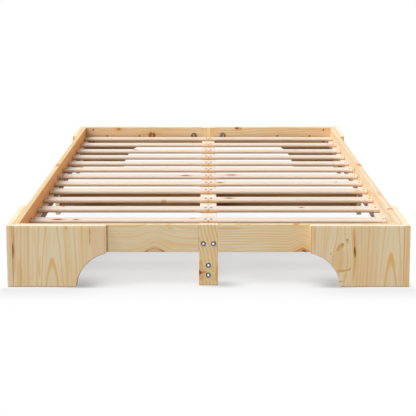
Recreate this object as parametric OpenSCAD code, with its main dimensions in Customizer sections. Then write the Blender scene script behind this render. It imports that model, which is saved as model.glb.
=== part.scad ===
// Low platform bed in solid pine, flat-packed: eight arched corner plates, four rails split in halves
// by middle legs, two lower beams, a centre strip and thirteen rows of half slats.
// X is the width, Y the length, Z is up. The origin is on the floor, under the middle of the bed.

/* [Mattress space] */
// Clear width between the side rails
inner_w = 1208; // [1100:1:1400]
// Clear length between the end rails
inner_l = 2010; // [1900:1:2200]
// Depth of the mattress recess, from the rails' top to the slats
recess = 42; // [34:1:50]

/* [Frame boards] */
// Thickness of the rails, legs, plates, beams and centre strip
board_t = 18; // [17:0.5:22]
// Height of the whole frame
frame_h = 200; // [195:1:250]
// Height of a rail
rail_h = 90; // [84:1:96]
// Radius of the eased board edges
edge_r = 2; // [0.5:0.5:2.5]

/* [Corner plates] */
// Width of a corner plate
plate_w = 300; // [280:1:310]
// Width of the foot under a corner plate
foot_w = 202; // [195:1:225]
// Depth of the centre of the arch below the floor
arch_low = 7; // [0:1:10]
// Radius of the foot's corner at the floor and of a plate's inner top corner
corner_r = 6; // [3:0.5:7]
// Radius of the corner between a plate's inner edge and its arch
tip_r = 11; // [6:1:14]

/* [Middle legs] */
// Width of a middle leg
leg_w = 60; // [52:1:76]

/* [Slats] */
// Width of a slat
slat_w = 60; // [50:1:66]
// Thickness of a slat
slat_t = 12; // [11:0.5:15]
// Radius of a slat's long edges
slat_edge_r = 5; // [2:0.5:5.5]
// Spacing of the slats over the middle of the bed
pitch_middle = 144; // [130:1:150]
// Spacing of the slats between the middle and the ends
pitch_between = 154; // [145:1:160]
// Gap between an end rail and the nearest slat
slat_end_gap = 31; // [20:1:45]
// Seam between the two halves of a row
slat_seam = 0.5; // [0.2:0.1:2]
// Gap between a slat's end and the side rail
slat_side_gap = 1.5; // [0.5:0.5:3]

/* [Ledgers and centre strip] */
// Thickness of a ledger
ledger_t = 20; // [17:1:28]
// Height of a ledger
ledger_h = 30; // [24:1:36]
// Width of the centre strip
strip_w = 60; // [52:1:76]

/* [Lower beams] */
// Height of a lower beam
beam_h = 90; // [80:1:96]
// Gap between a lower beam and the floor
beam_floor_gap = 5; // [3:1:8]
// Gap on each side of a board in a slot
slot_gap = 0.2; // [0.1:0.1:0.5]
// Distance of a strip support from the middle of the bed
support_y = 503; // [480:1:520]
// Width of a strip support
support_w = 60; // [48:1:60]
// Height of a strip support
support_h = 90; // [75:1:110]

/* [Carriage bolts] */
// Diameter of a carriage bolt
bolt_d = 6; // [5:0.5:8]
// Length of a carriage bolt under its head
bolt_l = 70; // [62:1:80]
// Diameter of a carriage bolt's head
bolt_head_d = 16.5; // [14:0.5:18]
// Height of a carriage bolt's head
bolt_head_h = 3.6; // [2.5:0.1:4.5]
// Spacing of each pair of bolts
bolt_pitch = 32; // [26:1:34]
// Diameter of a barrel nut
barrel_d = 10; // [9.5:0.5:12]
// Length of a barrel nut
barrel_l = 14; // [12:0.5:15]
// Distance of a barrel nut from the beam's end
barrel_inset = 40; // [30:1:42]

/* [Rail joints] */
// Diameter of a joint rod
rod_d = 6; // [5:0.5:8]
// Distance of the joint rods below the rails' top
joint_drop = 42; // [38:1:46]
// Distance of a pocket's centre from the rail's end
pocket_inset = 40; // [34:1:60]
// Diameter of a pocket
pocket_d = 31; // [30:0.5:36]
// Depth of a pocket
pocket_depth = 15; // [14.8:0.1:15.5]
// Thickness of a half-moon washer at its middle
washer_t = 7; // [5:0.5:8]
// Depth of a half-moon washer in its pocket
washer_depth = 11; // [9:0.5:11.5]
// Width of a joint nut across its flats
nut_af = 10; // [9.5:0.5:11]
// Thickness of a joint nut
nut_t = 5; // [4:0.5:6]
// Length of rod that stands past its nut
rod_tail = 3.5; // [2:0.5:5]

/* [Wood screws] */
// Diameter of a wood screw
screw_d = 4; // [3.5:0.5:5]
// Length of a wood screw with its head
screw_l = 28; // [25:0.5:28]
// Diameter of a wood screw's head
screw_head_d = 7.5; // [7:0.5:9]
// Depth of the cross recess in a wood screw's head
screw_recess = 1.2; // [0.8:0.1:1.5]
// Distance of a slat screw from the slat's inner end
slat_screw_inset = 9.5; // [7:0.5:14]
// Distance of the first plate screw from the plate's inner edge
plate_screw_near = 19; // [12:1:30]
// Distance of the second plate screw from the plate's inner edge
plate_screw_mid = 179; // [120:1:200]
// Distance of the outer pair of plate screws from the plate's outer edge
plate_screw_end = 53; // [50:1:70]
// Distance of each outer plate screw above or below the joint rods
plate_screw_rise = 30; // [24:1:32]

/* [Ledger screws] */
// Diameter of a ledger screw
ledger_screw_d = 5; // [4:0.5:6]
// Length of a ledger screw under its head
ledger_screw_l = 34; // [31:1:34]
// Diameter of a ledger screw's round head
ledger_head_d = 14; // [11:0.5:16]
// Height of a ledger screw's head
ledger_head_h = 3; // [2:0.5:4]

/* [Corner dowels] */
// Diameter of a corner dowel
dowel_d = 8; // [6:0.5:10]
// Length of a dowel inside the end plate's edge
dowel_in_end = 18; // [14:1:24]
// Length of a dowel inside the side plate
dowel_in_side = 12; // [9:1:13]
// Height of the lowest dowel
dowel_first_z = 40; // [30:1:50]
// Spacing of the dowels in a corner
dowel_pitch = 60; // [50:1:65]

/* [Fits] */
// Gap round a bolt, rod, screw or dowel in its hole
fit_gap = 0.15; // [0.1:0.05:0.25]
// Space left past the tip of a bolt, screw or dowel in a blind hole
blind_gap = 1; // [0.5:0.5:1.5]

/* [Hidden] */
$fn = 48;
// Reach of a cutting shape past the face that it cuts
past = 1;

pine = "#E9CDA2";
pine_pale = "#F1E0C8";
beech = "#D9B98C";
steel = "#C9CBCE";
zinc = "#AEB4BA";

// Faces of the frame, from the middle of the bed
rail_in_x = inner_w / 2;
rail_out_x = rail_in_x + board_t;
out_x = rail_out_x + board_t;
rail_in_y = inner_l / 2;
rail_out_y = rail_in_y + board_t;
out_y = rail_out_y + board_t;
rail_z = frame_h - rail_h;
joint_z = frame_h - joint_drop;

// Arch of a corner plate: a circle from the foot at the floor to the inner edge at the rail's bottom
arch_span = plate_w - foot_w;
arch_u = foot_w + arch_span / 2 + (pow(rail_z, 2) + 2 * rail_z * arch_low) / (2 * arch_span);
arch_r = norm([arch_u - foot_w, arch_low]);
// Centres of the rounded corners, which touch the arch from outside, and where they touch it
foot_out_r = arch_r + corner_r;
foot_corner_u = arch_u - sqrt(pow(foot_out_r, 2) - pow(corner_r + arch_low, 2));
foot_corner_top = (corner_r + arch_low) * arch_r / foot_out_r - arch_low;
tip_out_r = arch_r + tip_r;
tip_corner_u = plate_w - tip_r;
tip_rise = sqrt(pow(tip_out_r, 2) - pow(arch_u - tip_corner_u, 2));
tip_corner_z = tip_rise - arch_low;
tip_touch_u = arch_u - (arch_u - tip_corner_u) * arch_r / tip_out_r;
tip_touch_z = tip_rise * arch_r / tip_out_r - arch_low;

// Seats and slats
slat_z = frame_h - recess - slat_t;
slat_in_x = slat_seam / 2;
slat_out_x = rail_in_x - slat_side_gap;
slat_round = min(slat_edge_r, slat_t / 2 - 0.25);
slat_screw_out_x = rail_in_x - ledger_t / 2;
slat_screw_in_x = slat_in_x + slat_screw_inset;
pitch_steps = 2;
last_slat_y = rail_in_y - slat_end_gap - slat_w / 2;
pitch_end = last_slat_y / pitch_steps - pitch_middle - pitch_between;
slat_rows_each_way = 3 * pitch_steps;
// Distance of a row from the middle: two steps of each pitch, then the next pitch
function row_y(n) =
    pitch_middle * min(n, pitch_steps)
    + pitch_between * max(0, min(n - pitch_steps, pitch_steps))
    + pitch_end * max(0, n - 2 * pitch_steps);
function signed_row_y(row) = sign(row) * row_y(abs(row));
rows = [for (row = [-slat_rows_each_way : slat_rows_each_way]) row];
// Middle of each gap between two rows
gap_ys = [for (row = [-slat_rows_each_way : slat_rows_each_way - 1])
    (signed_row_y(row) + signed_row_y(row + 1)) / 2];

// Ledgers, strip and beams
ledger_z = slat_z - ledger_h;
ledger_screw_z = slat_z - ledger_h / 2;
strip_z = slat_z - board_t;
strip_bolt_z = slat_z - board_t / 2;
beam_top = beam_floor_gap + beam_h;
beam_mid_z = beam_floor_gap + beam_h / 2;
support_z = strip_z - support_h;

// Rail joints
pocket_pos = leg_w / 2 + pocket_inset;
washer_flat = pocket_d / 2 - washer_t;
rod_half = pocket_pos - washer_flat + nut_t + rod_tail;

// Dome of a round head: radius of the sphere through the rim and the crown
function dome_r(d, h) = (pow(d / 2, 2) + pow(h, 2)) / (2 * h);
screw_cone_h = (screw_head_d - screw_d) / 2;

dowels_in_corner = 3;
// Heights of the dowels in a corner
dowel_zs = [for (i = [0 : dowels_in_corner - 1]) dowel_first_z + i * dowel_pitch];

// Plate screws: distance from the plate's inner edge and height
plate_screws = [
    [plate_screw_near, joint_z],
    [plate_screw_mid, joint_z],
    [plate_w - plate_screw_end, joint_z - plate_screw_rise],
    [plate_w - plate_screw_end, joint_z + plate_screw_rise]
];

// Corners of the bed: name, sign of X and sign of Y
corners = [
    ["front_left", -1, -1],
    ["front_right", 1, -1],
    ["rear_left", -1, 1],
    ["rear_right", 1, 1]
];
ends = [["front", -1], ["rear", 1]];
sides = [["left", -1], ["right", 1]];
function slat_name(row, side) = str("slat_", row + slat_rows_each_way + 1, "_", side);

// Rectangle centred on the origin, with true arcs at its corners
module rounded_rect(w, h, r) {
    square([w - 2 * r, h], center = true);
    square([w, h - 2 * r], center = true);
    for (x = [-1, 1], y = [-1, 1])
        translate([x * (w / 2 - r), y * (h / 2 - r)]) circle(r = r);
}

// Board from one corner to the opposite one, with every edge eased
module board(low, high) {
    size = high - low;
    translate((low + high) / 2)
        intersection() {
            linear_extrude(size.z, center = true)
                rounded_rect(size.x, size.y, edge_r);
            rotate([90, 0, 0])
                linear_extrude(size.y, center = true)
                    rounded_rect(size.x, size.z, edge_r);
            rotate([90, 0, 90])
                linear_extrude(size.x, center = true)
                    rounded_rect(size.y, size.z, edge_r);
        }
}

// Puts a shape made at +X +Y into one corner, by its signs
module in_corner(sx, sy) {
    mirror([sx < 0 ? 1 : 0, 0, 0])
        mirror([0, sy < 0 ? 1 : 0, 0])
            children();
}

// Turns a shape made for the rear end, along +Y, to the right-hand side, along +X
module to_side() {
    mirror([1, -1, 0]) children();
}

// Hole of a bolt, rod or dowel along +Z, from its mouth to past its end
module hole(d, depth) {
    translate([0, 0, -past])
        cylinder(h = depth + past, d = d + 2 * fit_gap);
}

// Hole of a wood screw along +Z, with the countersink at the origin
module screw_hole() {
    hole(screw_d, screw_l + blind_gap);
    cylinder(h = screw_cone_h, d1 = screw_head_d + 2 * fit_gap, d2 = screw_d + 2 * fit_gap);
    translate([0, 0, -past])
        cylinder(h = past, d = screw_head_d + 2 * fit_gap);
}

// Wood screw along +Z, with the flat of its head at the origin
module wood_screw() {
    tip_h = screw_d;
    difference() {
        union() {
            cylinder(h = screw_cone_h, d1 = screw_head_d, d2 = screw_d);
            cylinder(h = screw_l - tip_h, d = screw_d);
            translate([0, 0, screw_l - tip_h])
                cylinder(h = tip_h, d1 = screw_d, d2 = screw_d / 4);
        }
        for (turn = [0, 90])
            rotate(turn)
                cube([screw_d, screw_d / 4, 2 * screw_recess], center = true);
    }
}

// Low dome that stands on the origin and rises towards -Z
module dome(d, h) {
    r = dome_r(d, h);
    rotate_extrude()
        intersection() {
            translate([0, r - h]) circle(r = r);
            translate([0, -h]) square([d / 2, h]);
        }
}

// Carriage bolt along +Z, with its head's seat at the origin
module carriage_bolt() {
    dome(bolt_head_d, bolt_head_h);
    cylinder(h = bolt_l, d = bolt_d);
}

// Ledger screw along +Z, with its head's seat at the origin
module ledger_screw() {
    dome(ledger_head_d, ledger_head_h);
    cylinder(h = ledger_screw_l, d = ledger_screw_d);
}

// Corner plate seen on its face: u from the outer edge, v up from the floor
module plate_outline() {
    difference() {
        square([plate_w, frame_h]);
        translate([arch_u, -arch_low]) circle(r = arch_r);
        difference() {
            translate([foot_corner_u, -past])
                square([2 * corner_r, past + foot_corner_top]);
            translate([foot_corner_u, corner_r]) circle(r = corner_r);
        }
        difference() {
            polygon([
                [plate_w + past, tip_corner_z],
                [tip_corner_u, tip_corner_z],
                [tip_touch_u, tip_touch_z],
                [plate_w + past, tip_touch_z - past]
            ]);
            translate([tip_corner_u, tip_corner_z]) circle(r = tip_r);
        }
        translate([plate_w - corner_r, frame_h - corner_r])
            difference() {
                square(corner_r + past);
                circle(r = corner_r);
            }
    }
}

// Ring that eases the edge between the arch and the face at y = 0
module arch_edge_cut() {
    translate([arch_u, 0, -arch_low])
        rotate([-90, 0, 0])
            rotate_extrude()
                translate([arch_r, 0])
                    difference() {
                        translate([-past, -past]) square(edge_r + past);
                        translate([edge_r, edge_r]) circle(r = edge_r);
                    }
}

// Corner plate with its outer bottom corner at the origin: width +X, thickness +Y
module plate() {
    difference() {
        intersection() {
            translate([0, board_t, 0])
                rotate([90, 0, 0])
                    linear_extrude(board_t) plate_outline();
            translate([0, board_t / 2, frame_h / 2])
                rotate([90, 0, 90])
                    linear_extrude(plate_w) rounded_rect(board_t, frame_h, edge_r);
            translate([plate_w / 2, board_t / 2, 0])
                linear_extrude(frame_h) rounded_rect(plate_w, board_t, edge_r);
        }
        arch_edge_cut();
        translate([0, board_t, 0]) mirror([0, 1, 0]) arch_edge_cut();
    }
}

// Screws that hold an end plate on the end rail, in the rear right corner
module at_end_plate_screws() {
    for (s = plate_screws)
        translate([rail_out_x - plate_w + s[0], rail_in_y, s[1]])
            rotate([-90, 0, 0])
                children();
}

// Screws that hold a side plate on the side rail, in the rear right corner
module at_side_plate_screws() {
    for (s = plate_screws)
        translate([rail_in_x, out_y - plate_w + s[0], s[1]])
            rotate([0, 90, 0])
                children();
}

// Dowels of the rear right corner, from the seam between its plates towards the side plate
module at_dowels() {
    for (z = dowel_zs)
        translate([rail_out_x, rail_out_y + board_t / 2, z])
            rotate([0, 90, 0])
                children();
}

module end_plate() {
    difference() {
        translate([rail_out_x, rail_out_y, 0])
            mirror([1, 0, 0]) plate();
        at_end_plate_screws() screw_hole();
        at_dowels() mirror([0, 0, 1]) hole(dowel_d, dowel_in_end + blind_gap);
    }
}

module side_plate() {
    difference() {
        translate([rail_out_x, out_y, 0])
            rotate([0, 0, -90]) plate();
        at_side_plate_screws() screw_hole();
        at_dowels() hole(dowel_d, dowel_in_side + blind_gap);
    }
}

// Pocket and rod hole of the rear rail's right half, drilled from the inner face
module rear_joint_cuts() {
    translate([pocket_pos, rail_in_y - past, joint_z])
        rotate([-90, 0, 0])
            cylinder(h = pocket_depth + past, d = pocket_d);
    translate([0, rail_in_y + board_t / 2, joint_z])
        rotate([0, 90, 0])
            cylinder(h = pocket_pos, d = rod_d + 2 * fit_gap);
}

module end_rail() {
    difference() {
        board([leg_w / 2, rail_in_y, rail_z], [rail_out_x, rail_out_y, frame_h]);
        rear_joint_cuts();
        at_end_plate_screws() screw_hole();
    }
}

// Rail joint of the right-hand side, made from the rear one
module side_joint_cuts() {
    translate([rail_in_x - rail_in_y, 0, 0])
        to_side()
            rear_joint_cuts();
}

module at_ledger_screws() {
    for (y = gap_ys)
        translate([rail_in_x - ledger_t, y, ledger_screw_z])
            rotate([0, 90, 0])
                children();
}

module side_rail() {
    difference() {
        board([rail_in_x, leg_w / 2, rail_z], [rail_out_x, rail_in_y, frame_h]);
        side_joint_cuts();
        at_side_plate_screws() screw_hole();
        at_ledger_screws() hole(ledger_screw_d, ledger_screw_l + blind_gap);
    }
}

// Lower pair of bolts in the rear leg, one above the other, driven from outside
module at_beam_bolts(face) {
    for (z = [-1, 1])
        translate([0, face, beam_mid_z + z * bolt_pitch / 2])
            rotate([90, 0, 0])
                children();
}

// Upper pair of bolts in the rear leg, side by side, driven from outside
module at_strip_bolts() {
    for (x = [-1, 1])
        translate([x * bolt_pitch / 2, rail_out_y, strip_bolt_z])
            rotate([90, 0, 0])
                children();
}

// Middle leg whose inner face is at y = inner, at the rear end
module leg(inner) {
    difference() {
        board([-leg_w / 2, inner, 0], [leg_w / 2, inner + board_t, frame_h]);
        translate([-leg_w / 2, inner + board_t / 2, joint_z])
            rotate([0, 90, 0])
                hole(rod_d, leg_w + past);
        at_beam_bolts(inner + board_t) hole(bolt_d, bolt_l);
    }
}

module end_leg() {
    difference() {
        leg(rail_in_y);
        at_strip_bolts() hole(bolt_d, bolt_l);
    }
}

module side_leg() {
    to_side() leg(rail_in_x);
}

module ledger() {
    difference() {
        board([rail_in_x - ledger_t, -rail_in_y, ledger_z], [rail_in_x, rail_in_y, slat_z]);
        at_ledger_screws() hole(ledger_screw_d, ledger_t + past);
        at_slat_screws([slat_screw_out_x]) screw_hole();
    }
}

// Slat screws of the right half, driven down at the given distances from the middle
module at_slat_screws(xs) {
    for (row = rows, x = xs)
        translate([x, signed_row_y(row), slat_z + slat_t])
            rotate([180, 0, 0])
                children();
}

// Screws through the strip into its two supports
module at_support_screws() {
    for (y = [-1, 1])
        translate([0, y * support_y, slat_z])
            rotate([180, 0, 0])
                children();
}

// Bolt hole and barrel-nut hole in a beam's end, for a bolt along +Z from the leg's outer face
module bolt_and_barrel_cut() {
    hole(bolt_d, bolt_l + blind_gap);
    translate([0, 0, board_t + barrel_inset])
        rotate([0, 90, 0])
            translate([0, 0, -board_t])
                cylinder(h = board_t + barrel_l / 2 + fit_gap, d = barrel_d + 2 * fit_gap);
}

module centre_strip() {
    color(pine_pale)
        difference() {
            board([-strip_w / 2, -rail_in_y, strip_z], [strip_w / 2, rail_in_y, slat_z]);
            for (e = ends)
                in_corner(1, e[1])
                    at_strip_bolts()
                        rotate([0, 0, 90]) bolt_and_barrel_cut();
            at_slat_screws([-slat_screw_in_x, slat_screw_in_x]) screw_hole();
            at_support_screws() screw_hole();
        }
}

// Lower beam along Y between y = -reach and y = reach, with its two bolted ends
module beam(reach) {
    difference() {
        board([-board_t / 2, -reach, beam_floor_gap], [board_t / 2, reach, beam_top]);
        for (e = ends)
            in_corner(1, e[1])
                at_beam_bolts(reach + board_t) bolt_and_barrel_cut();
    }
}

// Slot of the cross lap, from the beams' mid-height up or down
module lap_cut(z) {
    slot_w = board_t + 2 * slot_gap;
    translate([-board_t, -slot_w / 2, z])
        cube([2 * board_t, slot_w, beam_h / 2 + past]);
}

module long_beam() {
    color(pine)
        difference() {
            beam(rail_in_y);
            lap_cut(beam_mid_z);
        }
}

module cross_beam() {
    color(pine)
        to_side()
            difference() {
                beam(rail_in_x);
                lap_cut(beam_floor_gap - past);
            }
}

// Bridle post that straddles the long beam and carries the centre strip
module strip_support() {
    slot_w = board_t + 2 * slot_gap;
    difference() {
        board([-support_w / 2, -board_t / 2, support_z], [support_w / 2, board_t / 2, strip_z]);
        translate([-slot_w / 2, -board_t, support_z - past])
            cube([slot_w, 2 * board_t, beam_top - support_z + past]);
    }
}

module strip_supports() {
    color(pine)
        difference() {
            for (y = [-1, 1])
                translate([0, y * support_y, 0]) strip_support();
            at_support_screws() screw_hole();
        }
}

// Right half of a slat, on the ledger and the strip
module half_slat(row) {
    length = slat_out_x - slat_in_x;
    translate([slat_in_x, signed_row_y(row), slat_z + slat_t / 2])
        difference() {
            rotate([90, 0, 90])
                linear_extrude(length) rounded_rect(slat_w, slat_t, slat_round);
            for (x = [slat_screw_in_x, slat_screw_out_x])
                translate([x - slat_in_x, 0, slat_t / 2])
                    rotate([180, 0, 0])
                        screw_hole();
        }
}

module carriage_bolts() {
    color(steel) {
        for (e = ends)
            in_corner(1, e[1]) {
                at_beam_bolts(rail_out_y) carriage_bolt();
                at_strip_bolts() carriage_bolt();
            }
        to_side()
            for (e = ends)
                in_corner(1, e[1]) at_beam_bolts(rail_out_x) carriage_bolt();
    }
}

// Barrel nut whose cross hole lies on the bolt, for a bolt along +Z from the leg's outer face
module barrel_nut() {
    translate([0, 0, board_t + barrel_inset])
        difference() {
            rotate([0, 90, 0])
                cylinder(h = barrel_l, d = barrel_d, center = true);
            cylinder(h = barrel_d + 2 * past, d = bolt_d + 2 * fit_gap, center = true);
        }
}

module barrel_nuts() {
    color(zinc) {
        for (e = ends)
            in_corner(1, e[1]) {
                at_beam_bolts(rail_out_y) barrel_nut();
                at_strip_bolts() rotate([0, 0, 90]) barrel_nut();
            }
        to_side()
            for (e = ends)
                in_corner(1, e[1]) at_beam_bolts(rail_out_x) barrel_nut();
    }
}

// Copies a shape made at the rear rail's joint to all four joints
module at_joints() {
    for (e = ends)
        in_corner(1, e[1]) children();
    for (s = sides)
        in_corner(s[1], 1)
            translate([rail_in_x - rail_in_y, 0, 0])
                to_side() children();
}

module joint_rods() {
    color(zinc)
        at_joints()
            translate([-rod_half, rail_in_y + board_t / 2, joint_z])
                rotate([0, 90, 0])
                    cylinder(h = 2 * rod_half, d = rod_d);
}

module joint_nuts() {
    color(zinc)
        at_joints()
            for (x = [-1, 1])
                translate([x * (pocket_pos - washer_flat + nut_t / 2), rail_in_y + board_t / 2, joint_z])
                    rotate([0, 90, 0])
                        difference() {
                            cylinder(h = nut_t, d = nut_af / cos(30), center = true, $fn = 6);
                            cylinder(h = nut_t + 2 * past, d = rod_d + 2 * fit_gap, center = true);
                        }
}

// Half-moon washer of the rear right pocket, with its flat away from the leg
module joint_washer() {
    translate([pocket_pos, rail_in_y + board_t / 2, joint_z])
        difference() {
            rotate([90, 0, 0])
                cylinder(h = washer_depth, d = pocket_d - 2 * fit_gap, center = true);
            translate([-washer_flat, -pocket_d / 2, -pocket_d / 2])
                cube(pocket_d);
            rotate([0, 90, 0])
                cylinder(h = 2 * pocket_d, d = rod_d + 2 * fit_gap, center = true);
        }
}

module joint_washers() {
    color(zinc)
        at_joints()
            for (x = [-1, 1])
                in_corner(x, 1) joint_washer();
}

module wood_screws() {
    color(steel) {
        for (c = corners)
            in_corner(c[1], c[2]) {
                at_end_plate_screws() wood_screw();
                at_side_plate_screws() wood_screw();
            }
        for (s = sides)
            in_corner(s[1], 1) at_slat_screws([slat_screw_in_x, slat_screw_out_x]) wood_screw();
        at_support_screws() wood_screw();
    }
}

module ledger_screws() {
    color(steel)
        for (s = sides)
            in_corner(s[1], 1) at_ledger_screws() ledger_screw();
}

module corner_dowels() {
    color(beech)
        for (c = corners)
            in_corner(c[1], c[2])
                at_dowels()
                    translate([0, 0, -dowel_in_end])
                        cylinder(h = dowel_in_end + dowel_in_side, d = dowel_d);
}

// Paint and place of the pieces that repeat in the corners, ends and sides
module pine_corner_piece(c) {
    color(pine) in_corner(c[1], c[2]) children();
}

for (c = corners) {
    pine_corner_piece(c) end_plate();
    pine_corner_piece(c) side_plate();
    pine_corner_piece(c) end_rail();
    pine_corner_piece(c) side_rail();
}
for (e = ends)
    color(pine) in_corner(1, e[1]) end_leg();
for (s = sides) {
    color(pine) in_corner(s[1], 1) side_leg();
    color(pine) in_corner(s[1], 1) ledger();
}
for (row = rows, s = sides)
    color(pine_pale) in_corner(s[1], 1) half_slat(row);
centre_strip();
long_beam();
cross_beam();
strip_supports();
carriage_bolts();
barrel_nuts();
joint_rods();
joint_nuts();
joint_washers();
wood_screws();
ledger_screws();
corner_dowels();
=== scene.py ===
import math

import bpy
import numpy as np
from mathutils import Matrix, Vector


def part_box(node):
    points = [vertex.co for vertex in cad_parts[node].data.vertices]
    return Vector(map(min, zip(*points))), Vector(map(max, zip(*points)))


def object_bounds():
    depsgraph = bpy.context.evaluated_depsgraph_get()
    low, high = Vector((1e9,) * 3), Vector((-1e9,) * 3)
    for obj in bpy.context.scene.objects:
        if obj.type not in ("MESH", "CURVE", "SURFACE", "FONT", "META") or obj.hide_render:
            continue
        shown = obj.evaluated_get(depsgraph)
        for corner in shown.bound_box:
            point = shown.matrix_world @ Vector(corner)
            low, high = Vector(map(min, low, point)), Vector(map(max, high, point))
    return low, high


# Looks of the low pine platform bed: planed pine with rings and knots, plated fasteners, a pale studio.
# The boards keep the meshes of the CAD. Metres, with the origin on the floor under the middle of the bed.

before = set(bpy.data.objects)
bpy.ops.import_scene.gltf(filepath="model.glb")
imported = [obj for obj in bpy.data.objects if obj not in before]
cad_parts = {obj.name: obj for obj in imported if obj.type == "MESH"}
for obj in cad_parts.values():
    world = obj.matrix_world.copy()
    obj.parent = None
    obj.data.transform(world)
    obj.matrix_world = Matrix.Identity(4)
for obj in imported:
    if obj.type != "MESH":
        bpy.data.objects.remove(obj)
cad_low, cad_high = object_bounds()
front_y = cad_low.y


# Shader arithmetic

MIX_FACTOR, MIX_FIRST, MIX_SECOND, MIX_RESULT = 0, 6, 7, 2


class Field:
    """A value that varies over a surface. Arithmetic on it adds Math nodes to its tree."""

    def __init__(self, tree, socket):
        self.tree = tree
        self.socket = socket

    def __add__(self, other):
        return self.tree.math("ADD", self, other)

    def __radd__(self, other):
        return self.tree.math("ADD", other, self)

    def __sub__(self, other):
        return self.tree.math("SUBTRACT", self, other)

    def __rsub__(self, other):
        return self.tree.math("SUBTRACT", other, self)

    def __mul__(self, other):
        return self.tree.math("MULTIPLY", self, other)

    def __rmul__(self, other):
        return self.tree.math("MULTIPLY", other, self)

    def __truediv__(self, other):
        return self.tree.math("DIVIDE", self, other)

    def __rtruediv__(self, other):
        return self.tree.math("DIVIDE", other, self)


class Tree:
    """The node tree of a material or of the world while it is made."""

    def __init__(self, owner):
        owner.use_nodes = True
        self.owner = owner
        self.tree = owner.node_tree
        self.tree.nodes.clear()

    def node(self, kind, settings=None, inputs=None, output=0):
        """Adds a node: its settings first, then the values or links of its sockets.

        Gives one of its outputs, by number or name, or all of them where output is None.
        """
        made = self.tree.nodes.new("ShaderNode" + kind)
        for key, value in (settings or {}).items():
            setattr(made, key, value)
        for key, value in (inputs or {}).items():
            if isinstance(value, Field):
                self.tree.links.new(value.socket, made.inputs[key])
            else:
                made.inputs[key].default_value = value
        if output is None:
            return [Field(self, socket) for socket in made.outputs]
        return Field(self, made.outputs[output])

    def math(self, operation, *values):
        return self.node("Math", {"operation": operation}, dict(enumerate(values)))

    def largest(self, first, *others):
        for other in others:
            first = self.math("MAXIMUM", first, other)
        return first

    def length(self, first, second):
        return self.math("SQRT", first * first + second * second)

    def step(self, value, low, high, to_low=0.0, to_high=1.0):
        """Smooth step of value from low to high, onto to_low to to_high."""
        inputs = {0: value, 1: low, 2: high, 3: to_low, 4: to_high}
        return self.node("MapRange", {"interpolation_type": "SMOOTHSTEP"}, inputs)

    def bell(self, *offsets):
        """1 where every offset is 0, falling to nothing as the offsets pass 1 and -1."""
        total = sum(offset * offset for offset in offsets)
        return self.math("EXPONENT", total * -1.0)

    def split(self, vector):
        return self.node("SeparateXYZ", None, {0: vector}, None)

    def join(self, x, y, z):
        return self.node("CombineXYZ", None, {0: x, 1: y, 2: z})

    def coordinates(self, output="Object"):
        return self.node("TexCoord", output=output)

    def light_path(self, output):
        return self.node("LightPath", output=output)

    def facing(self):
        """The parts of the object's normal, and the size of each."""
        parts = self.split(self.coordinates("Normal"))
        return parts, [self.math("ABSOLUTE", part) for part in parts]

    def noise(self, vector, detail=1.0, scale=1.0, output="Fac"):
        inputs = {"Vector": vector, "Scale": scale, "Detail": detail}
        return self.node("TexNoise", {"noise_dimensions": "3D"}, inputs, output)

    def blend(self, factor, first, second):
        """Mix of two colours: the first where factor is 0, the second where it is 1."""
        settings = {"data_type": "RGBA", "clamp_factor": True}
        inputs = {MIX_FACTOR: factor, MIX_FIRST: first, MIX_SECOND: second}
        return self.node("Mix", settings, inputs, MIX_RESULT)

    def blend_shaders(self, factor, first, second):
        return self.node("MixShader", None, {0: factor, 1: first, 2: second})

    def finish(self, shader, kind="OutputMaterial"):
        self.node(kind, None, {0: shader}, None)
        return self.owner


def material(name):
    return Tree(bpy.data.materials.new(name))


def colour(red, green, blue):
    """Linear colour of an sRGB triple on the 0 to 255 scale."""
    def linear(value):
        value = value / 255
        return value / 12.92 if value <= 0.04045 else ((value + 0.055) / 1.055) ** 2.4
    return (linear(red), linear(green), linear(blue), 1.0)


def grey(value):
    return (value, value, value, 1.0)


# Tones

def wood_tones(early, late, warm, heart):
    """Pale early wood, the dark lines' late wood, early wood in warmer parts, and the fibres' dark."""
    return {"early": colour(*early), "late": colour(*late), "warm": colour(*warm), "heart": colour(*heart)}


FRAME_TONES = wood_tones((235, 219, 186), (229, 181, 102), (236, 213, 174), (226, 176, 104))
PALE_TONES = wood_tones((235, 220, 194), (231, 193, 141), (236, 214, 183), (228, 187, 138))
# Deeper, warmer tones of the rear rails: painted shade
REAR_SHADE_TONES = wood_tones((236, 213, 174), (222, 172, 106), (234, 203, 164), (215, 162, 98))
SLAT_TONES = wood_tones((233, 223, 209), (230, 208, 185), (233, 218, 203), (226, 199, 173))
# Darker pine of the parts under the slats and inside the joints: painted shade
HIDDEN_SHADE_TONES = wood_tones((212, 170, 114), (172, 118, 62), (202, 156, 100), (156, 100, 50))
# Pale end grain: painted light, which falls on the tops of the upright boards
LIT_END_PALE = colour(255, 245, 226)
LIT_END_WARM = colour(254, 236, 206)
STRIP_PALE = colour(248, 236, 221)
# The slats' darker, warmer front edge: painted shade
SLAT_EDGE_SHADE = colour(226, 178, 132)
SLAT_SHADE = colour(136, 100, 68)
SCREW_SHADE = colour(86, 84, 82)
AMBER = colour(219, 166, 90)
ORANGE = colour(214, 134, 70)
PINK = colour(235, 200, 166)
BROWN = colour(176, 112, 56)
DARK_BROWN = colour(104, 58, 24)
SHADOW_BROWN = colour(116, 56, 14)
# Orange of end grain, and warm painted shade on inner faces
HEARTWOOD_AND_WARM_SHADE = colour(222, 142, 68)
RESIN = colour(126, 48, 14)
KNOT_CORE = colour(206, 138, 66)
KNOT_RIM = colour(150, 74, 28)


# Pine
# Places in a board are metres from its origin: g along the grain, u across the wide face and w through it.

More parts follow.
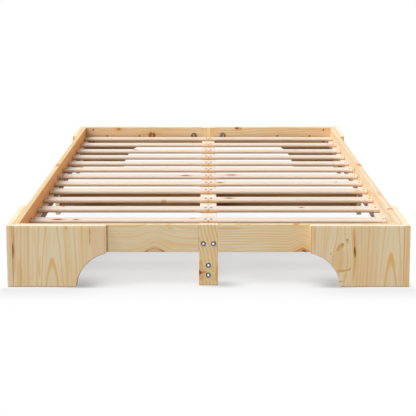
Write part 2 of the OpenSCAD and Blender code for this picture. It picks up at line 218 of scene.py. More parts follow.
class Figure:
    """How the pine of one board looks. What a board doesn't say for itself is as given here."""

    tones = FRAME_TONES
    # The rings lie round a pith line: its place in u and w, and its slope in u and w along the grain.
    pith = (0.0, 0.06)
    tilt = (0.0, 0.0)
    # The rings' width, their shift and their unevenness as parts of a ring.
    ring = 0.0055
    phase = 0.0
    uneven = 0.9
    # A slow sway and a quick waver of the lines, and an even wave (height, length, start).
    sway = 0.006
    waver = 0.0022
    wave = (0.0, 0.05, 0.0)
    # The part of a ring at which it starts to darken, the lines' strength and the least strength of one line.
    rise = 0.35
    contrast = 1.0
    faint = 0.25
    # (radius, breadth, rise, spread): rings near the radius are thin and drawn in full, and those outside it
    # stand further apart by the spread.
    clear = None
    # The strength of soft streaks between the lines.
    haze = 0.35
    # Swells (g, u, length, breadth) and knots (g, u, size, reach, amount) push the lines aside.
    swells = ()
    knots = ()
    # The share of places in a coarse grid that have a small knot.
    wild_knots = 0.0
    # Tints: streaks (g, u, length, breadth, amount, tone), bands (low u, high u, tone, amount) and one skin
    # (w, tone, amount) for what lies past w.
    streaks = ()
    bands = ()
    skin = None
    # The end grain's (tone, amount), pale by default as painted light on the tops of upright boards, and
    # (direction, amount, tone) of rounded edges darkened as painted shade.
    end = (LIT_END_PALE, 0.9)
    burnt = None
    # The place along the grain of a foot, whose lowest millimetres are darker.
    foot = None
    # (g, u, w of its mouth, side it opens to) of a pocket whose wall and floor are darkened as painted shade.
    pocket = None

    def __init__(self, **own):
        for key, value in own.items():
            if not hasattr(Figure, key):
                raise KeyError(key)
            setattr(self, key, value)


# Of each noise, the length along the grain and the breadth across it of its spots, and the range that tints
SLOW_SPOTS, TONE_RANGE = (0.38, 0.2), (0.35, 0.65)
QUICK_SPOTS = (0.07, 0.022)
FIBRE_SPOTS, FIBRE_RANGE = (0.030, 0.0011), (0.3, 0.75)
DUCT_SPOTS, DUCT_RANGE = (0.009, 0.0006), (0.70, 0.78)
CLOUD_SPOTS, CLOUD_RANGE = (0.30, 0.013), (0.45, 0.75)
THREAD_SPOTS, THREAD_RANGE = (0.11, 0.0042), (0.56, 0.72)
# Steps that move the noises of one seed away from those of the next
SLOW_SEED, YEAR_SEED, WILD_SEEDS = 7.31, 3.7, (1.7, 0.37)
# How many rings wide an uneven stretch is
DRIFT_RINGS = 4.3
# The part of a ring at which it is darkest, and the quick drop to the pale wood of the next
DARKEST, DROP = 0.96, (1.0, 0.95)
SWELL_PUSH, KNOT_PUSH = 0.85, 0.8
# Knots are longer along the grain, and their push reaches some sizes across it.
KNOT_LENGTH, PUSH_SIZES = 1.6, 3.0
# From outside to inside, in knot sizes: the knot's edge, the halo round it and, outwards, its rim
KNOT_EDGE, KNOT_HALO, KNOT_INNER = (1.15, 0.75), (4.0, 0.9), (0.25, 0.95)
WILD_CELL, WILD_LENGTH, WILD_SIZES = (0.42, 0.16), 2.2, (0.0002, 0.006)
WILD_EDGE, WILD_HALO, WILD_INNER = (1.2, 0.6), (5.0, 0.8), (0.4, 0.95)
STREAK_EDGE = (0.12, 0.75)
BAND_SOFT = 0.005
# The part of the way to a skin's depth over which it sets in
SKIN_START, SKIN_FULL = 0.90, 0.98
# The normal's part along the grain on end grain, its largest part on rounded edges and its part towards the
# edges darkened as painted shade
END_FACING, ROUNDED, TO_SHADED_SIDE = (0.6, 0.9), (0.98, 0.90), (0.1, 0.45)
DARK_FOOT_HEIGHT = 0.005
# How strongly each layer tints the wood
FIBRE_TINT, DUCT_TINT, FOOT_TINT, POCKET_SHADE_TINT = 0.14, 0.25, 0.55, 0.85
HALO_TINT, CORE_TINT, RIM_TINT = 0.6, 0.9, 0.85
WILD_HALO_TINT, WILD_CORE_TINT, WILD_RIM_TINT = 0.45, 0.85, 0.7
RINGS_IN_END = 0.6
POCKET_R, POCKET_INSET, POCKET_DEPTH, JOINT_Z = 0.0155, 0.040, 0.0160, 0.158
# Steps of the pocket's painted shade: from its axis outwards and up to the wall, and from the mouth down and
# to the floor
POCKET_SHADE_INNER, POCKET_SHADE_OUTER = (0.004, 0.013), (POCKET_R + 0.0010, POCKET_R + 0.0003)
POCKET_SHADE_TOP, POCKET_SHADE_END = (0.0004, 0.0015), (POCKET_DEPTH + 0.0012, POCKET_DEPTH)


def grain_noise(tree, place, spots, shift=(0.0, 0.0, 0.0), detail=1.0, output="Fac"):
    """Noise whose spots lie along the grain."""
    long, broad = spots
    scaled = [part / size for part, size in zip(place, (long, broad, broad))]
    moved = [part + move if move else part for part, move in zip(scaled, shift)]
    return tree.noise(tree.join(*moved), detail, output=output)


def swayed(tree, look, place, seed):
    """The places across and through the board as seen from the swaying pith, and a slow wave of tone."""
    g, u, w = place
    slow = grain_noise(tree, place, SLOW_SPOTS, (seed * SLOW_SEED, 0.0, seed), output="Color")
    slow_u, slow_w, tone_wave = tree.split(slow)
    quick = grain_noise(tree, place, QUICK_SPOTS, (seed, 0.0, 0.0))
    bent = u + (slow_u - 0.5) * (2 * look.sway) + (quick - 0.5) * look.waver
    height, length, start = look.wave
    if height:
        bent = bent + tree.math("SINE", g / length + start) * height
    return bent, w + (slow_w - 0.5) * (2 * look.sway), tone_wave


def pushed_aside(tree, look, g, bent):
    """The place across the board once swells and knots push the lines aside, with the knots' parts."""
    for at_g, at_u, long, broad in look.swells:
        off = bent - at_u
        bent = bent - off * tree.bell((g - at_g) / long, off / broad) * SWELL_PUSH
    core = rim = halo = 0.0
    for at_g, at_u, size, reach, amount in look.knots:
        off = bent - at_u
        away = tree.length((g - at_g) / KNOT_LENGTH, off) / size
        bent = bent - off * tree.bell((g - at_g) / reach, off / (PUSH_SIZES * size)) * KNOT_PUSH
        inside = tree.step(away, *KNOT_EDGE) * amount
        core = tree.largest(inside, core)
        rim = tree.largest(inside * tree.step(away, *KNOT_INNER), rim)
        halo = tree.largest(tree.step(away, *KNOT_HALO) * amount, halo)
    return bent, core, rim, halo


def year_rings(tree, look, g, bent, deep, seed):
    """The share of late wood, and the strength it is drawn with.

    The ring's number is the distance from the pith over the ring's width. Late wood grows slowly outwards in
    each ring and drops at once to the pale wood of the next.
    """
    side = bent - look.pith[0] - g * look.tilt[0]
    depth = deep - look.pith[1] - g * look.tilt[1]
    radius = tree.length(side, depth)
    drift_place = radius / (DRIFT_RINGS * look.ring) + seed
    drift = tree.node("TexNoise", {"noise_dimensions": "1D"}, {"W": drift_place, "Scale": 1.0, "Detail": 0.0})
    grown, rise, strength = radius, look.rise, look.contrast
    if look.clear:
        clear_radius, breadth, clear_rise, spread = look.clear
        near = tree.bell((radius - clear_radius) / breadth)
        grown = radius - tree.largest(radius - clear_radius - breadth, 0.0) * spread
        rise = rise + near * (clear_rise - rise)
        strength = strength + near * (1.0 - strength)
    count = grown / look.ring + (drift - 0.5) * look.uneven - look.phase
    year = tree.math("FLOOR", count)
    part = count - year
    vigour = tree.node("TexWhiteNoise", {"noise_dimensions": "1D"}, {"W": year + seed * YEAR_SEED})
    force = vigour * vigour * (1.0 - look.faint) + look.faint
    if look.clear:
        force = tree.largest(force, near)
    late = tree.step(part, rise, (rise + DARKEST) * 0.5) * tree.step(part, *DROP) * force
    return late, strength


# The layers below are (share, tone) pairs, laid over the wood one after the other.

def tint_layers(tree, look, bent, w):
    layers = []
    for low, high, tone, amount in look.bands:
        above = tree.step(bent, low - BAND_SOFT, low + BAND_SOFT)
        below = tree.step(bent, high + BAND_SOFT, high - BAND_SOFT)
        layers.append((above * below * amount, tone))
    if look.skin:
        skin_w, tone, amount = look.skin
        layers.append((tree.step(w / skin_w, SKIN_START, SKIN_FULL) * amount, tone))
    return layers


def wild_knot_layers(tree, look, g, u, seed):
    """Small knots at the spots of a coarse grid. Most cells have one too small to be seen."""
    (cell_g, cell_u), (shift_g, shift_u) = WILD_CELL, WILD_SEEDS
    grid_g = g / cell_g + seed * shift_g
    grid_u = u / cell_u + seed * shift_u
    inputs = {"Vector": tree.join(grid_g, grid_u, 0.0), "Scale": 1.0, "Randomness": 0.8}
    mark, spot = tree.node("TexVoronoi", {"voronoi_dimensions": "2D"}, inputs, None)[1:3]
    chance = tree.split(mark)[0]
    spot_g, spot_u = tree.split(spot)[:2]
    size = tree.step(chance, 1.0 - look.wild_knots, 1.0, *WILD_SIZES)
    away = tree.length((grid_g - spot_g) * (cell_g / WILD_LENGTH), (grid_u - spot_u) * cell_u) / size
    wild = tree.step(away, *WILD_EDGE)
    return [
        (tree.step(away, *WILD_HALO) * WILD_HALO_TINT, look.tones["heart"]),
        (wild * WILD_CORE_TINT, KNOT_CORE),
        (wild * tree.step(away, *WILD_INNER) * WILD_RIM_TINT, KNOT_RIM),
    ]


def streak_layers(tree, look, g, bent):
    layers = []
    for at_g, at_u, long, broad, amount, tone in look.streaks:
        near = tree.bell((g - at_g) / long, (bent - at_u) / broad)
        layers.append((tree.step(near, *STREAK_EDGE) * amount, tone))
    return layers


def pocket_layer(tree, look, place):
    """The wall and floor of a pocket darkened as painted shade, but for its middle."""
    g, u, w = place
    at_g, at_u, mouth, side = look.pocket
    from_axis = tree.length(g - at_g, u - at_u)
    below = (mouth - w) * side
    around = tree.step(from_axis, *POCKET_SHADE_OUTER) * tree.step(from_axis, *POCKET_SHADE_INNER)
    within = tree.step(below, *POCKET_SHADE_TOP) * tree.step(below, *POCKET_SHADE_END)
    return (around * within * POCKET_SHADE_TINT, DARK_BROWN)


def edge_layers(tree, look, grain, late):
    """End grain with its rings, pale by default as painted light, and rounded edges darkened as painted
    shade.
    """
    parts, sizes = tree.facing()
    end_tone, end_amount = look.end
    cut = tree.blend(late * RINGS_IN_END, end_tone, look.tones["heart"])
    layers = [(tree.step(sizes["XYZ".index(grain)], *END_FACING) * end_amount, cut)]
    if look.burnt:
        direction, amount, tone = look.burnt
        toward = sum(part * share for part, share in zip(parts, direction) if share)
        rounded = tree.step(tree.largest(*sizes), *ROUNDED)
        layers.append((rounded * tree.step(toward, *TO_SHADED_SIDE) * amount, tone))
    return layers


def pine(name, grain, wide, origin, seed, **figure):
    """Pine as a solid, so that the rings, fibres and knots run on from one face of a board to the next."""
    look = Figure(**figure)
    tones = look.tones
    tree = material(name)
    inputs = {"Vector": tree.coordinates(), "Location": [-value for value in origin]}
    parts = dict(zip("XYZ", tree.split(tree.node("Mapping", {"vector_type": "POINT"}, inputs))))
    thick = "XYZ".replace(grain, "").replace(wide, "")
    g, u, w = place = parts[grain], parts[wide], parts[thick]

    bent, deep, tone_wave = swayed(tree, look, place, seed)
    bent, core, rim, halo = pushed_aside(tree, look, g, bent)
    late, strength = year_rings(tree, look, g, bent, deep, seed)
    along_lines = g, bent, deep
    fibre = grain_noise(tree, along_lines, FIBRE_SPOTS, detail=2.0)
    duct = tree.step(grain_noise(tree, place, DUCT_SPOTS, (seed, 0.0, 0.0), 0.0), *DUCT_RANGE)
    cloud = grain_noise(tree, along_lines, CLOUD_SPOTS, (seed, 0.0, seed))
    thread = grain_noise(tree, along_lines, THREAD_SPOTS, (0.0, seed, 0.0))

    layers = [
        (tree.step(cloud, *CLOUD_RANGE) * look.haze, tones["late"]),
        (tree.step(thread, *THREAD_RANGE) * look.haze, tones["late"]),
        (late * strength, tones["late"]),
        *tint_layers(tree, look, bent, w),
        (tree.step(fibre, *FIBRE_RANGE) * FIBRE_TINT, tones["heart"]),
        (duct * DUCT_TINT, tones["heart"]),
    ]
    if look.wild_knots:
        layers += wild_knot_layers(tree, look, g, u, seed)
    if look.knots:
        layers += [(halo * HALO_TINT, AMBER), (core * CORE_TINT, KNOT_CORE), (rim * RIM_TINT, KNOT_RIM)]
    layers += streak_layers(tree, look, g, bent)
    if look.foot is not None:
        layers.append((tree.step(g, look.foot + DARK_FOOT_HEIGHT, look.foot) * FOOT_TINT, BROWN))
    if look.pocket:
        layers.append(pocket_layer(tree, look, place))
    layers += edge_layers(tree, look, grain, late)
    wood = tree.blend(tree.step(tone_wave, *TONE_RANGE), tones["early"], tones["warm"])
    for share, tone in layers:
        wood = tree.blend(share, wood, tone)

    height = late * 0.5 + fibre * 0.5 - duct * 0.6
    bump = tree.node("Bump", None, {"Strength": 0.35, "Distance": 0.00025, "Height": height})
    rough = 0.50 + (fibre - 0.5) * 0.16 - late * 0.06
    # The white studio's reflection would turn dark tones mauve, so it is weak.
    sockets = {"Base Color": wood, "Roughness": rough, "Normal": bump, "Specular IOR Level": 0.12}
    return tree.finish(tree.node("BsdfPrincipled", None, sockets))


# Boards

def centre_of(node):
    low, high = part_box(node)
    return [(a + b) / 2 for a, b in zip(low, high)]


def half_size(node, axis):
    low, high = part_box(node)
    return (high[axis] - low[axis]) / 2


# The boards seen best in the photo. Their places are read off it, from an origin in the board's outer face.
# Board: its origin, and what its Figure says.

BOARD_HALF, LEDGER_HALF = 0.009, 0.010
RAIL_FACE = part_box("end_rail_front_left")[0].y
REAR_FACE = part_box("end_rail_rear_left")[0].y
RAIL_MID = centre_of("end_rail_front_left")[2]
CATHEDRAL_LEFT_X, CATHEDRAL_RIGHT_X = -0.4976, 0.5804
# Rounded edges that face down, darkened as painted shade
DOWN_EDGE_SHADE = ((0.0, 0.0, -1.0), 0.6, DARK_BROWN)

# Tall arches of wide rings, the same on both front plates
CATHEDRAL = {
    "pith": (0.0, 0.0755), "tilt": (0.0, 0.029), "ring": 0.0054, "phase": 0.537, "uneven": 0.25,
    "sway": 0.0015, "rise": 0.50, "faint": 0.35, "contrast": 0.6, "clear": (0.0800, 0.0055, 0.79, 0.40),
}
FRONT_RAIL = {
    "origin": (0.0, RAIL_FACE, RAIL_MID), "ring": 0.0085, "sway": 0.012, "waver": 0.005, "rise": 0.55,
}
# The rear rails' brown lower part below the slats is painted shade.
REAR_RAIL = {
    "origin": (0.0, REAR_FACE, RAIL_MID), "tones": REAR_SHADE_TONES, "bands": [(-0.060, -0.018, BROWN, 0.4)],
}
# Inner faces that the photo shows warmer or darker than soft light leaves them, tinted as painted shade
WARM_SHADE_INSIDE = {"skin": (BOARD_HALF, HEARTWOOD_AND_WARM_SHADE, 0.85)}
DARK_INSIDE = {"skin": (-BOARD_HALF, SHADOW_BROWN, 0.5)}

FIGURES = {
    "end_plate_front_left": {
        **CATHEDRAL,
        "origin": (CATHEDRAL_LEFT_X, front_y, 0.0),
        # Its rounded edges that face right and down are darkened: painted shade.
        "burnt": ((0.9, 0.0, -0.6), 0.85, DARK_BROWN),
        "bands": [(0.124, 0.176, PINK, 0.5), (-0.118, -0.070, AMBER, 0.12)],
        "streaks": [
            (0.120, -0.1210, 0.085, 0.0070, 0.55, AMBER), (0.165, -0.1190, 0.050, 0.0026, 0.5, ORANGE),
            (0.118, -0.1232, 0.026, 0.0034, 0.95, RESIN), (0.060, -0.1236, 0.070, 0.0018, 0.6, BROWN),
            (0.170, 0.1216, 0.030, 0.0024, 0.6, AMBER), (0.180, 0.1222, 0.013, 0.0022, 0.7, ORANGE),
            (0.152, 0.1216, 0.012, 0.0016, 0.7, BROWN), (0.060, -0.0400, 0.030, 0.0040, 0.4, AMBER),
            (0.040, -0.1020, 0.050, 0.0100, 0.35, AMBER), (0.199, 0.0460, 0.016, 0.0045, 0.7, AMBER),
            (0.155, 0.1690, 0.060, 0.0024, 0.5, AMBER),
        ],
    },
    "end_plate_front_right": {
        **CATHEDRAL,
        "origin": (CATHEDRAL_RIGHT_X, front_y, 0.0),
        "swells": [(0.085, -0.163, 0.075, 0.040), (0.034, -0.1537, 0.014, 0.012)],
        "bands": [(-0.235, -0.190, PINK, 0.25), (-0.122, -0.045, AMBER, 0.20)],
        "streaks": [
            (0.120, -0.1240, 0.070, 0.0080, 0.5, AMBER), (0.155, -0.1228, 0.036, 0.0026, 0.75, ORANGE),
            (0.114, -0.1240, 0.020, 0.0040, 0.95, RESIN), (0.060, -0.1260, 0.045, 0.0050, 0.6, AMBER),
            (0.155, -0.2424, 0.055, 0.0022, 0.7, AMBER), (0.150, -0.2540, 0.200, 0.0022, 0.8, AMBER),
            (0.085, -0.1600, 0.045, 0.0180, 0.2, AMBER), (0.154, -0.1458, 0.0045, 0.0040, 0.9, KNOT_CORE),
            (0.146, -0.1468, 0.0060, 0.0024, 0.8, AMBER), (0.139, -0.1590, 0.0060, 0.0030, 0.9, KNOT_CORE),
            (0.134, -0.1615, 0.0070, 0.0040, 0.9, AMBER), (0.125, -0.1650, 0.0080, 0.0026, 0.8, AMBER),
            (0.108, -0.1787, 0.0026, 0.0026, 0.9, KNOT_CORE), (0.060, -0.1430, 0.0060, 0.0034, 0.85, AMBER),
            (0.056, -0.1500, 0.0036, 0.0070, 0.85, AMBER), (0.053, -0.1600, 0.0044, 0.0060, 0.9, AMBER),
            (0.047, -0.1680, 0.0050, 0.0040, 0.9, AMBER), (0.018, -0.1600, 0.0030, 0.0055, 0.9, AMBER),
            (0.015, -0.1640, 0.0026, 0.0026, 0.7, ORANGE), (0.100, 0.0400, 0.120, 0.0022, 0.6, AMBER),
        ],
    },
    "end_rail_front_left": {
        **FRONT_RAIL, "pith": (-0.135, 0.03), "contrast": 0.55, "faint": 0.5,
        "knots": [(-0.171, -0.059, 0.0255, 0.042, 0.22)],
        "swells": [(-0.127, 0.036, 0.035, 0.012)],
        "streaks": [
            (-0.171, -0.0513, 0.040, 0.0009, 0.85, ORANGE), (-0.146, -0.0518, 0.010, 0.0009, 0.95, RESIN),
            (-0.198, -0.0518, 0.007, 0.0009, 0.9, RESIN), (-0.127, 0.0340, 0.014, 0.0050, 0.3, AMBER),
            (-0.190, 0.0470, 0.034, 0.0030, 0.7, ORANGE),
        ],
    },
    "end_rail_front_right": {
        **FRONT_RAIL, "pith": (-0.125, 0.03), "contrast": 0.8, "faint": 0.6,
        "knots": [(0.300, -0.056, 0.022, 0.028, 0.3)],
        "swells": [(0.060, 0.040, 0.060, 0.012)],
        "streaks": [
            (0.300, -0.0488, 0.026, 0.0013, 0.95, ORANGE), (0.310, -0.0518, 0.013, 0.0013, 0.95, RESIN),
            (0.060, 0.0360, 0.045, 0.0040, 0.5, AMBER), (0.281, 0.0460, 0.012, 0.0030, 0.8, ORANGE),
        ],
    },
    "middle_leg_front": {
        "origin": (0.0, RAIL_FACE, 0.0), "pith": (-0.17, 0.02), "tilt": (-0.16, 0.0), "ring": 0.0115,
        "sway": 0.003, "wave": (0.0045, 0.028, 1.2), "rise": 0.5, "faint": 0.7, "uneven": 0.5,
        "knots": [(0.041, -0.0300, 0.0070, 0.022, 1.0)],
        "streaks": [
            (0.073, -0.0290, 0.010, 0.0030, 0.9, AMBER), (0.040, 0.0290, 0.030, 0.0045, 0.9, AMBER),
            (0.026, -0.0200, 0.010, 0.0070, 0.6, AMBER), (0.044, -0.0160, 0.003, 0.0100, 0.9, KNOT_CORE),
            (0.042, -0.0290, 0.005, 0.0050, 0.8, RESIN),
        ],
    },
    "end_rail_rear_left": {
        **REAR_RAIL, "pith": (0.100, 0.03), "ring": 0.0065,
        "knots": [(-0.279, 0.004, 0.012, 0.06, 0.8), (-0.443, 0.037, 0.005, 0.03, 1.0)],
        "streaks": [
            (-0.350, 0.0, 0.035, 0.012, 0.3, AMBER), (-0.286, 0.006, 0.006, 0.006, 0.7, RESIN),
            (-0.270, 0.004, 0.006, 0.006, 0.7, RESIN),
        ],
    },
    "end_rail_rear_right": {
        **REAR_RAIL, "pith": (-0.02, 0.05), "ring": 0.0075,
        "knots": [(0.141, 0.043, 0.006, 0.04, 0.5)],
        "streaks": [(0.141, 0.043, 0.009, 0.003, 0.8, RESIN), (0.158, 0.042, 0.010, 0.003, 0.7, ORANGE)],
    },
    "side_rail_front_right": {
        "origin": (centre_of("side_rail_front_right")[0], 0.0, RAIL_MID), "tones": PALE_TONES,
        "streaks": [(-0.801, 0.047, 0.012, 0.010, 0.9, ORANGE), (-0.560, 0.047, 0.05, 0.006, 0.5, AMBER)],
    },
    "side_rail_rear_right": {"tones": PALE_TONES},
    # The left middle leg's inner face is tinted warm: painted shade
    "middle_leg_left": {"skin": (half_size("middle_leg_left", 0), HEARTWOOD_AND_WARM_SHADE, 0.85)},
    "side_rail_front_left": WARM_SHADE_INSIDE,
    "side_rail_rear_left": WARM_SHADE_INSIDE,
    "ledger_left": {"skin": (LEDGER_HALF, SHADOW_BROWN, 0.9)},
    "ledger_right": {"bands": [(-0.030, -0.002, SHADOW_BROWN, 0.95)]},
    "end_plate_rear_left": DARK_INSIDE,
    "end_plate_rear_right": DARK_INSIDE,
}

draw = np.random.default_rng(41)


def random_figure(sway=0.008):
    """A board cut at random from its log: the pith's place, the tilt of the grain and the rings' width."""
    return {
        "pith": (draw.uniform(-0.05, 0.05), draw.uniform(0.03, 0.09)),
        "tilt": (draw.uniform(-0.012, 0.012), draw.uniform(-0.02, 0.02)),
        "ring": draw.uniform(0.0045, 0.0065),
        "sway": sway,
    }


def origin_of(name):
    return FIGURES.get(name, {}).get("origin") or centre_of(name)


def dress(node, finish):
    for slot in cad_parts[node].material_slots:
        slot.material = finish


def dress_in_pine(name, grain, wide, seed, **figure):
    """Dresses a board in the figure given, and first of all in its own from the photo."""
    figure.update(FIGURES.get(name, {}))
    figure.pop("origin", None)
    dress(name, pine("pine_" + name, grain, wide, origin_of(name), seed, **figure))


def dress_board(name, grain, wide, seed, sway, **more):
    """Dresses a board of the frame in a random figure. Upright boards stand on the floor and are darker at
    the bottom.
    """
    figure = {**random_figure(sway), **more}
    if grain == "Z":
        figure["foot"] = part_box(name)[0].z - origin_of(name)[2]
    dress_in_pine(name, grain, wide, seed, **figure)


def rail_pocket(name, along, across, side):
    """The pocket of a rail half, which lies as far from the rail's inner end as on every other half."""
    low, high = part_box(name)
    middle = (low[along] + high[along]) / 2
    inner_end = low[along] if middle > 0 else high[along]
    place = inner_end + math.copysign(POCKET_INSET, middle)
    origin = origin_of(name)
    mouth = (high if side > 0 else low)[across]
    return (place - origin[along], JOINT_Z - origin[2], mouth - origin[across], side)


PLATE_SWAY, BOARD_SWAY = 0.004, 0.008
for index, corner in enumerate(("front_left", "front_right", "rear_left", "rear_right")):
    inner_x = 1 if "left" in corner else -1
    inner_y = 1 if "front" in corner else -1
    end_rail, side_rail = "end_rail_" + corner, "side_rail_" + corner
    dress_board("end_plate_" + corner, "Z", "X", 1.0 + index, PLATE_SWAY, burnt=DOWN_EDGE_SHADE)
    dress_board("side_plate_" + corner, "Z", "Y", 11.0 + index, PLATE_SWAY, burnt=DOWN_EDGE_SHADE, end=(LIT_END_WARM, 0.9))
    dress_board(end_rail, "X", "Z", 21.0 + index, BOARD_SWAY, pocket=rail_pocket(end_rail, 0, 1, inner_y))
    dress_board(side_rail, "Y", "Z", 31.0 + index, BOARD_SWAY, pocket=rail_pocket(side_rail, 1, 0, inner_x))
for index, place in enumerate(("front", "rear")):
    dress_board("middle_leg_" + place, "Z", "X", 41.0 + index, BOARD_SWAY)
for index, place in enumerate(("left", "right")):
    dress_board("middle_leg_" + place, "Z", "Y", 51.0 + index, BOARD_SWAY, end=(HEARTWOOD_AND_WARM_SHADE, 0.9))
    dress_board("ledger_" + place, "Y", "Z", 61.0 + index, BOARD_SWAY, tones=SLAT_TONES)
strip_tones = {**SLAT_TONES, "early": STRIP_PALE, "warm": STRIP_PALE}
dress_in_pine("centre_strip", "Y", "X", 71.0, tones=strip_tones, contrast=0.5, haze=0.1, **random_figure())
dress_in_pine("long_beam", "Y", "Z", 73.0, tones=HIDDEN_SHADE_TONES, wild_knots=0.6, **random_figure())
# The cross beam's front face and lower half are darkened: painted shade.
dress_in_pine("cross_beam", "X", "Z", 75.0, tones=HIDDEN_SHADE_TONES, wild_knots=0.6,
              skin=(-half_size("cross_beam", 1), DARK_BROWN, 0.35),
              bands=[(-0.060, -0.002, DARK_BROWN, 0.3)], **random_figure())
dress_in_pine("strip_supports", "Z", "X", 77.0, tones=HIDDEN_SHADE_TONES, **random_figure())
dress_in_pine("corner_dowels", "X", "Y", 5.0, tones=HIDDEN_SHADE_TONES)

SLAT_ROWS = 13
SLAT_SCREW_X, SEAM_SCREW_X = 0.594, 0.0095
# A streak of this length has no ends in a slat.
WHOLE_SLAT = 9.0
# What lies lower than this in a slat is darker, like the lower half of its edge in the photo.
SLAT_SHADE_TOP = -0.0018
# Pinkish knots of the slats in the photo: slat, place along X, place across, half length
SLAT_KNOTS = {
    "slat_2_left": [(-0.512, -0.008, 0.028), (-0.449, -0.010, 0.014)],
    "slat_3_left": [(-0.517, 0.012, 0.005)],
    "slat_3_right": [(0.331, 0.002, 0.010)],
    "slat_4_right": [(0.076, 0.004, 0.022)],
    "slat_6_right": [(0.046, -0.008, 0.020), (0.504, 0.004, 0.006)],
    "slat_7_left": [(-0.093, -0.010, 0.028)],
    "slat_7_right": [(0.094, 0.004, 0.034)],
    "slat_11_left": [(-0.337, 0.0, 0.014)],
}


def slat_marks(name):
    """A slat's knots, and the streaks of its front edge, its seam, its screws and its knots."""
    middle = centre_of(name)[0]
    outer, inner = [math.copysign(x, middle) - middle for x in (SLAT_SCREW_X, SEAM_SCREW_X)]
    knots = []
    streaks = [
        # The whole front edge is darker and warmer: painted shade.
        (0.0, -0.032, WHOLE_SLAT, 0.008, 0.4, SLAT_EDGE_SHADE),
        # A warm tint on the front edge over the seam: painted reflection of the strip below.
        (-middle, -0.031, 0.0260, 0.008, 0.45, AMBER),
        (-middle, -0.022, 0.0034, 0.010, 0.7, BROWN),
        (outer, 0.0, 0.0050, 0.0070, 0.7, SCREW_SHADE),
        (inner, 0.0, 0.0046, 0.0085, 1.0, SCREW_SHADE),
    ]
    for at_x, at_y, half in SLAT_KNOTS.get(name, []):
        knots.append((at_x - middle, at_y, min(0.2 * half, 0.0060), half, 1.0))
        streaks.append((at_x - middle, at_y, 1.4 * half, 0.008, 0.5, ORANGE))
        streaks.append((at_x - middle, at_y, 0.6 * half, 0.0036, 0.95, RESIN))
    return {"knots": knots, "streaks": streaks}


for row in range(1, SLAT_ROWS + 1):
    for side in ("left", "right"):
        name = f"slat_{row}_{side}"
        figure = random_figure(0.004)
        dress_in_pine(name, "X", "Y", 80.0 + draw.uniform(0, 20), tones=SLAT_TONES, wild_knots=0.4,
                      contrast=0.7, haze=0.15, skin=(SLAT_SHADE_TOP, SLAT_SHADE, 0.6), **slat_marks(name),
                      **figure)


# Metal

# Spots of the plating and of the fine marks to a metre, the cloudiness that darkens it, and the slope over
# which a head's rim darkens as a painted reflection
CLOUDS, MARKS = 220.0, 2600.0
CLOUDED, REFLECTION_SLOPE = (0.35, 0.7), (0.96, 0.76)


def metal(name, base, shade, rim, rough, worn):
    """Plated steel: cloudy plating, fine marks, and a darker rim where a domed head turns from its axis, a
    painted reflection of dark surroundings.

    The axis of a head lies along X, Y or Z, so the largest part of the normal is the cosine of the slope.
    """
    tree = material(name)
    position = tree.coordinates()
    sizes = tree.facing()[1]
    cloud = tree.noise(position, 3.0, CLOUDS)
    fine = tree.noise(position, 1.0, MARKS)
    tone = tree.blend(tree.step(cloud, *CLOUDED), colour(*base), colour(*shade))
    tone = tree.blend(tree.step(tree.largest(*sizes), *REFLECTION_SLOPE), tone, colour(*rim))
    bump = tree.node("Bump", None, {"Strength": 0.2, "Distance": 0.00004, "Height": fine})
    gloss = rough + (cloud - 0.5) * worn
    sockets = {"Base Color": tone, "Metallic": 1.0, "Roughness": gloss, "Normal": bump}
    return tree.finish(tree.node("BsdfPrincipled", None, sockets))


nickel = metal("bright_nickel", (160, 164, 170), (132, 137, 144), (38, 42, 48), 0.22, 0.10)
zinc = metal("white_zinc", (104, 104, 102), (82, 82, 80), (46, 46, 46), 0.36, 0.20)
dull_zinc = metal("dull_zinc", (46, 54, 60), (34, 40, 46), (20, 24, 28), 0.42, 0.20)
# Brown steel of the ledger screws: painted reflection of the dark wood round them
wood_reflecting_steel = metal("wood_reflecting_steel", (64, 40, 24), (46, 28, 16), (26, 16, 10), 0.45, 0.20)
for name in ("carriage_bolts", "joint_washers"):
    dress(name, nickel)
for name in ("barrel_nuts", "joint_rods", "joint_nuts"):
    dress(name, zinc)
dress("wood_screws", dull_zinc)
dress("ledger_screws", wood_reflecting_steel)


# Studio

WORLD_LIGHT = 0.30
FLOOR_HALF, FLOOR_DROP = 30.0, 0.0004
# How much light the floor gives back to the bed
FLOOR_GREY = 0.30
# The corner of a foot at the floor, on either side of the middle
FOOT_X = 0.42
# The floor under the bed glows this much near the front, and more far in and beside the long beam: painted
# light that weakens the bed's shadow there.
NEAR_GLOW, FAR_GLOW, BEAM_GLOW = 0.64, 0.27, 0.22
# Strength of the floor's shade behind the front face, and of the one ahead of it, more before the plates
BEHIND_SHADE, AHEAD_SHADE, PLATE_SHADE = 0.24, 0.07, 0.09


def studio_world():
    """White for the camera and for reflections, and a softer white as light on surfaces."""
    world = bpy.data.worlds.new("studio_white")
    bpy.context.scene.world = world
    tree = Tree(world)
    seen = tree.largest(tree.light_path("Is Camera Ray"), tree.light_path("Is Glossy Ray"))
    light = tree.node("Background", None, {0: grey(1.0), 1: WORLD_LIGHT})
    white = tree.node("Background", None, {0: grey(1.0), 1: 1.0})
    tree.finish(tree.blend_shaders(seen, light, white), "OutputWorld")


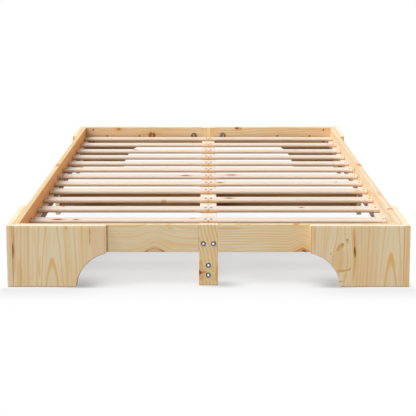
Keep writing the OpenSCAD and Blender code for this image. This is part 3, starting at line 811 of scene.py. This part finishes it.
def floor_shade(tree, x, y):
    """The floor's painted shade by place, and how far it glows white instead of keeping the bed's shadow."""
    across, back = tree.math("ABSOLUTE", x), y - front_y
    beside = tree.largest(across - cad_high.x, 0.0)
    before = tree.largest(tree.math("ABSOLUTE", y) - cad_high.y, 0.0)
    outside = tree.step(tree.length(beside, before), 0.0, 0.02)
    under = 1.0 - outside
    near_in, far_in = tree.step(back, 0.0, 0.22), tree.step(back, 0.50, 0.80)

    # More glow beside the long beam: painted light that weakens its shadow.
    beside_beam = tree.bell((x - 0.08) / 0.08) * (1.0 - far_in)
    inner = NEAR_GLOW + far_in * FAR_GLOW + beside_beam * BEAM_GLOW
    glow = inner + (1.0 - inner) * outside

    # Soft spots of shade: across, middle and half size there, middle and half size to the back, strength
    spots = [
        (across, FOOT_X, 0.08, 0.05, 0.06, 0.30),
        (across, FOOT_X - 0.015, 0.05, 0.012, 0.030, 0.22),
        (x, 0.045, 0.060, 0.03, 0.035, 0.32),
    ]
    shade = near_in * (1.0 - far_in) * BEHIND_SHADE
    for place, at_x, half_x, at_back, half_back, strength in spots:
        shade = shade + tree.bell((place - at_x) / half_x, (back - at_back) / half_back) * strength

    before_plate = tree.step(across, FOOT_X - 0.15, FOOT_X + 0.05)
    ahead = tree.bell(back / 0.10) * tree.step(back, 0.02, -0.03) * tree.step(beside, 0.04, 0.0)
    return 1.0 - shade * under - ahead * (before_plate * PLATE_SHADE + AHEAD_SHADE), glow


def studio_floor():
    """Pale floor that keeps the bed's shadow under it, with painted shade by place, and turns to plain white
    away from it.
    """
    mesh = bpy.data.meshes.new("studio_floor")
    corners = [(-1, -1), (1, -1), (1, 1), (-1, 1)]
    mesh.from_pydata([(x * FLOOR_HALF, y * FLOOR_HALF, 0) for x, y in corners], [], [(0, 1, 2, 3)])
    floor = bpy.data.objects.new("studio_floor", mesh)
    floor.location.z = -FLOOR_DROP
    bpy.context.scene.collection.objects.link(floor)
    tree = material("pale_floor")
    x, y = tree.split(tree.coordinates())[:2]
    tint, glow_share = floor_shade(tree, x, y)
    shade = tree.join(tint, tint, tint)
    seen = tree.node("BsdfDiffuse", None, {0: shade})
    glow = tree.node("Emission", None, {0: shade, 1: 1.0})
    white = tree.node("Emission", None, {0: grey(1.0), 1: 1.0})
    bounce = tree.node("BsdfDiffuse", None, {0: grey(FLOOR_GREY)})
    for_camera = tree.blend_shaders(glow_share, seen, glow)
    plain = tree.blend_shaders(tree.light_path("Is Camera Ray"), bounce, for_camera)
    for_all = tree.blend_shaders(tree.light_path("Is Glossy Ray"), plain, white)
    mesh.materials.append(tree.finish(for_all))


def sun(name, toward, strength, spread):
    """Even light that travels towards a direction, with a spread in degrees that softens its shadows."""
    data = bpy.data.lights.new(name, "SUN")
    data.energy = strength
    data.angle = math.radians(spread)
    made = bpy.data.objects.new(name, data)
    made.rotation_euler = Vector(toward).to_track_quat("-Z", "Y").to_euler()
    bpy.context.scene.collection.objects.link(made)


# The camera stands this far before the front face and this high, and looks this much down, in degrees.
# Its lens and sensor are in millimetres, and its shift in widths of the frame.
CAMERA_BEFORE, CAMERA_HEIGHT, CAMERA_DOWN = 3.492, 1.051, 8.6
CAMERA_LENS, CAMERA_SENSOR, CAMERA_SHIFT, CAMERA_REACH = 98.04, 36.0, (-0.001, -0.20), 200.0


def studio_camera():
    """Camera in front of the foot end, a little above the bed, as far off and as high as the photo's."""
    data = bpy.data.cameras.new("photo_camera")
    data.sensor_width = CAMERA_SENSOR
    data.lens = CAMERA_LENS
    data.shift_x, data.shift_y = CAMERA_SHIFT
    data.clip_end = CAMERA_REACH
    camera = bpy.data.objects.new("photo_camera", data)
    camera.location = (0.0, front_y - CAMERA_BEFORE, CAMERA_HEIGHT)
    camera.rotation_euler = (math.radians(90.0 - CAMERA_DOWN), 0.0, 0.0)
    bpy.context.scene.collection.objects.link(camera)
    bpy.context.scene.camera = camera


studio_world()
studio_floor()
sun("key_sun", (1.0, 0.0, -1.15), 3.15, 50.0)
sun("side_sun", (-1.0, -0.15, -0.03), 1.7, 12.0)
sun("front_sun", (0.12, 1.0, -0.14), 1.08, 16.0)
studio_camera()
bpy.context.scene.view_settings.view_transform = "Standard"
